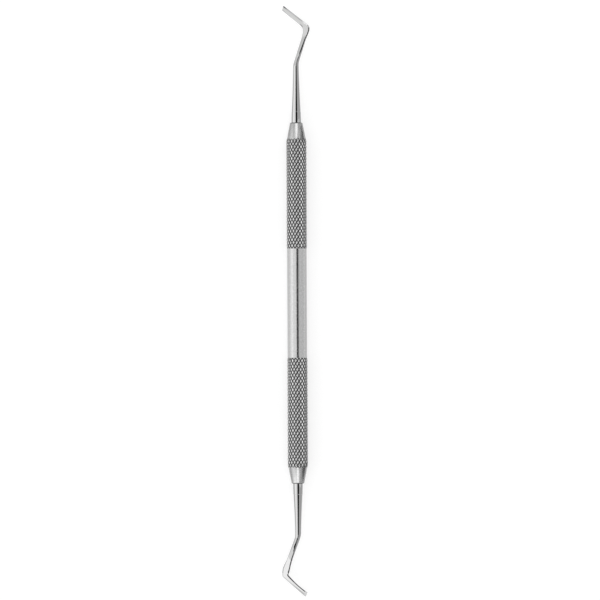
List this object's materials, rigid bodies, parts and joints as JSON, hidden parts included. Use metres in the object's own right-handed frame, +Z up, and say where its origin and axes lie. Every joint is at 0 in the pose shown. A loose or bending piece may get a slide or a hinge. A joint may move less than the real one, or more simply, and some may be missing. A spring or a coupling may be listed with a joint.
{
  "type": "cavity preparation instrument",
  "caption": "Double-ended steel dental hand instrument: knurled round handle with an angled, curved, bevelled trimming blade at each end.",
  "frame": {"origin": "on the handle's axis, at the middle of its plain grip", "axes": "+Y along the handle to the end whose blade tip curves up, +X to the side that end's elbow points to, +Z up from the surface that it lies on"},
  "size_m": [0.0088, 0.173, 0.006],
  "materials": {
    "handle_steel": "satin turned stainless steel with a diamond knurl",
    "blade_steel": "fine ground and polished stainless steel"
  },
  "bodies": {
    "root": {"handle": "handle_steel", "upper_working_end": "blade_steel", "lower_working_end": "blade_steel"}
  },
  "joints": []
}
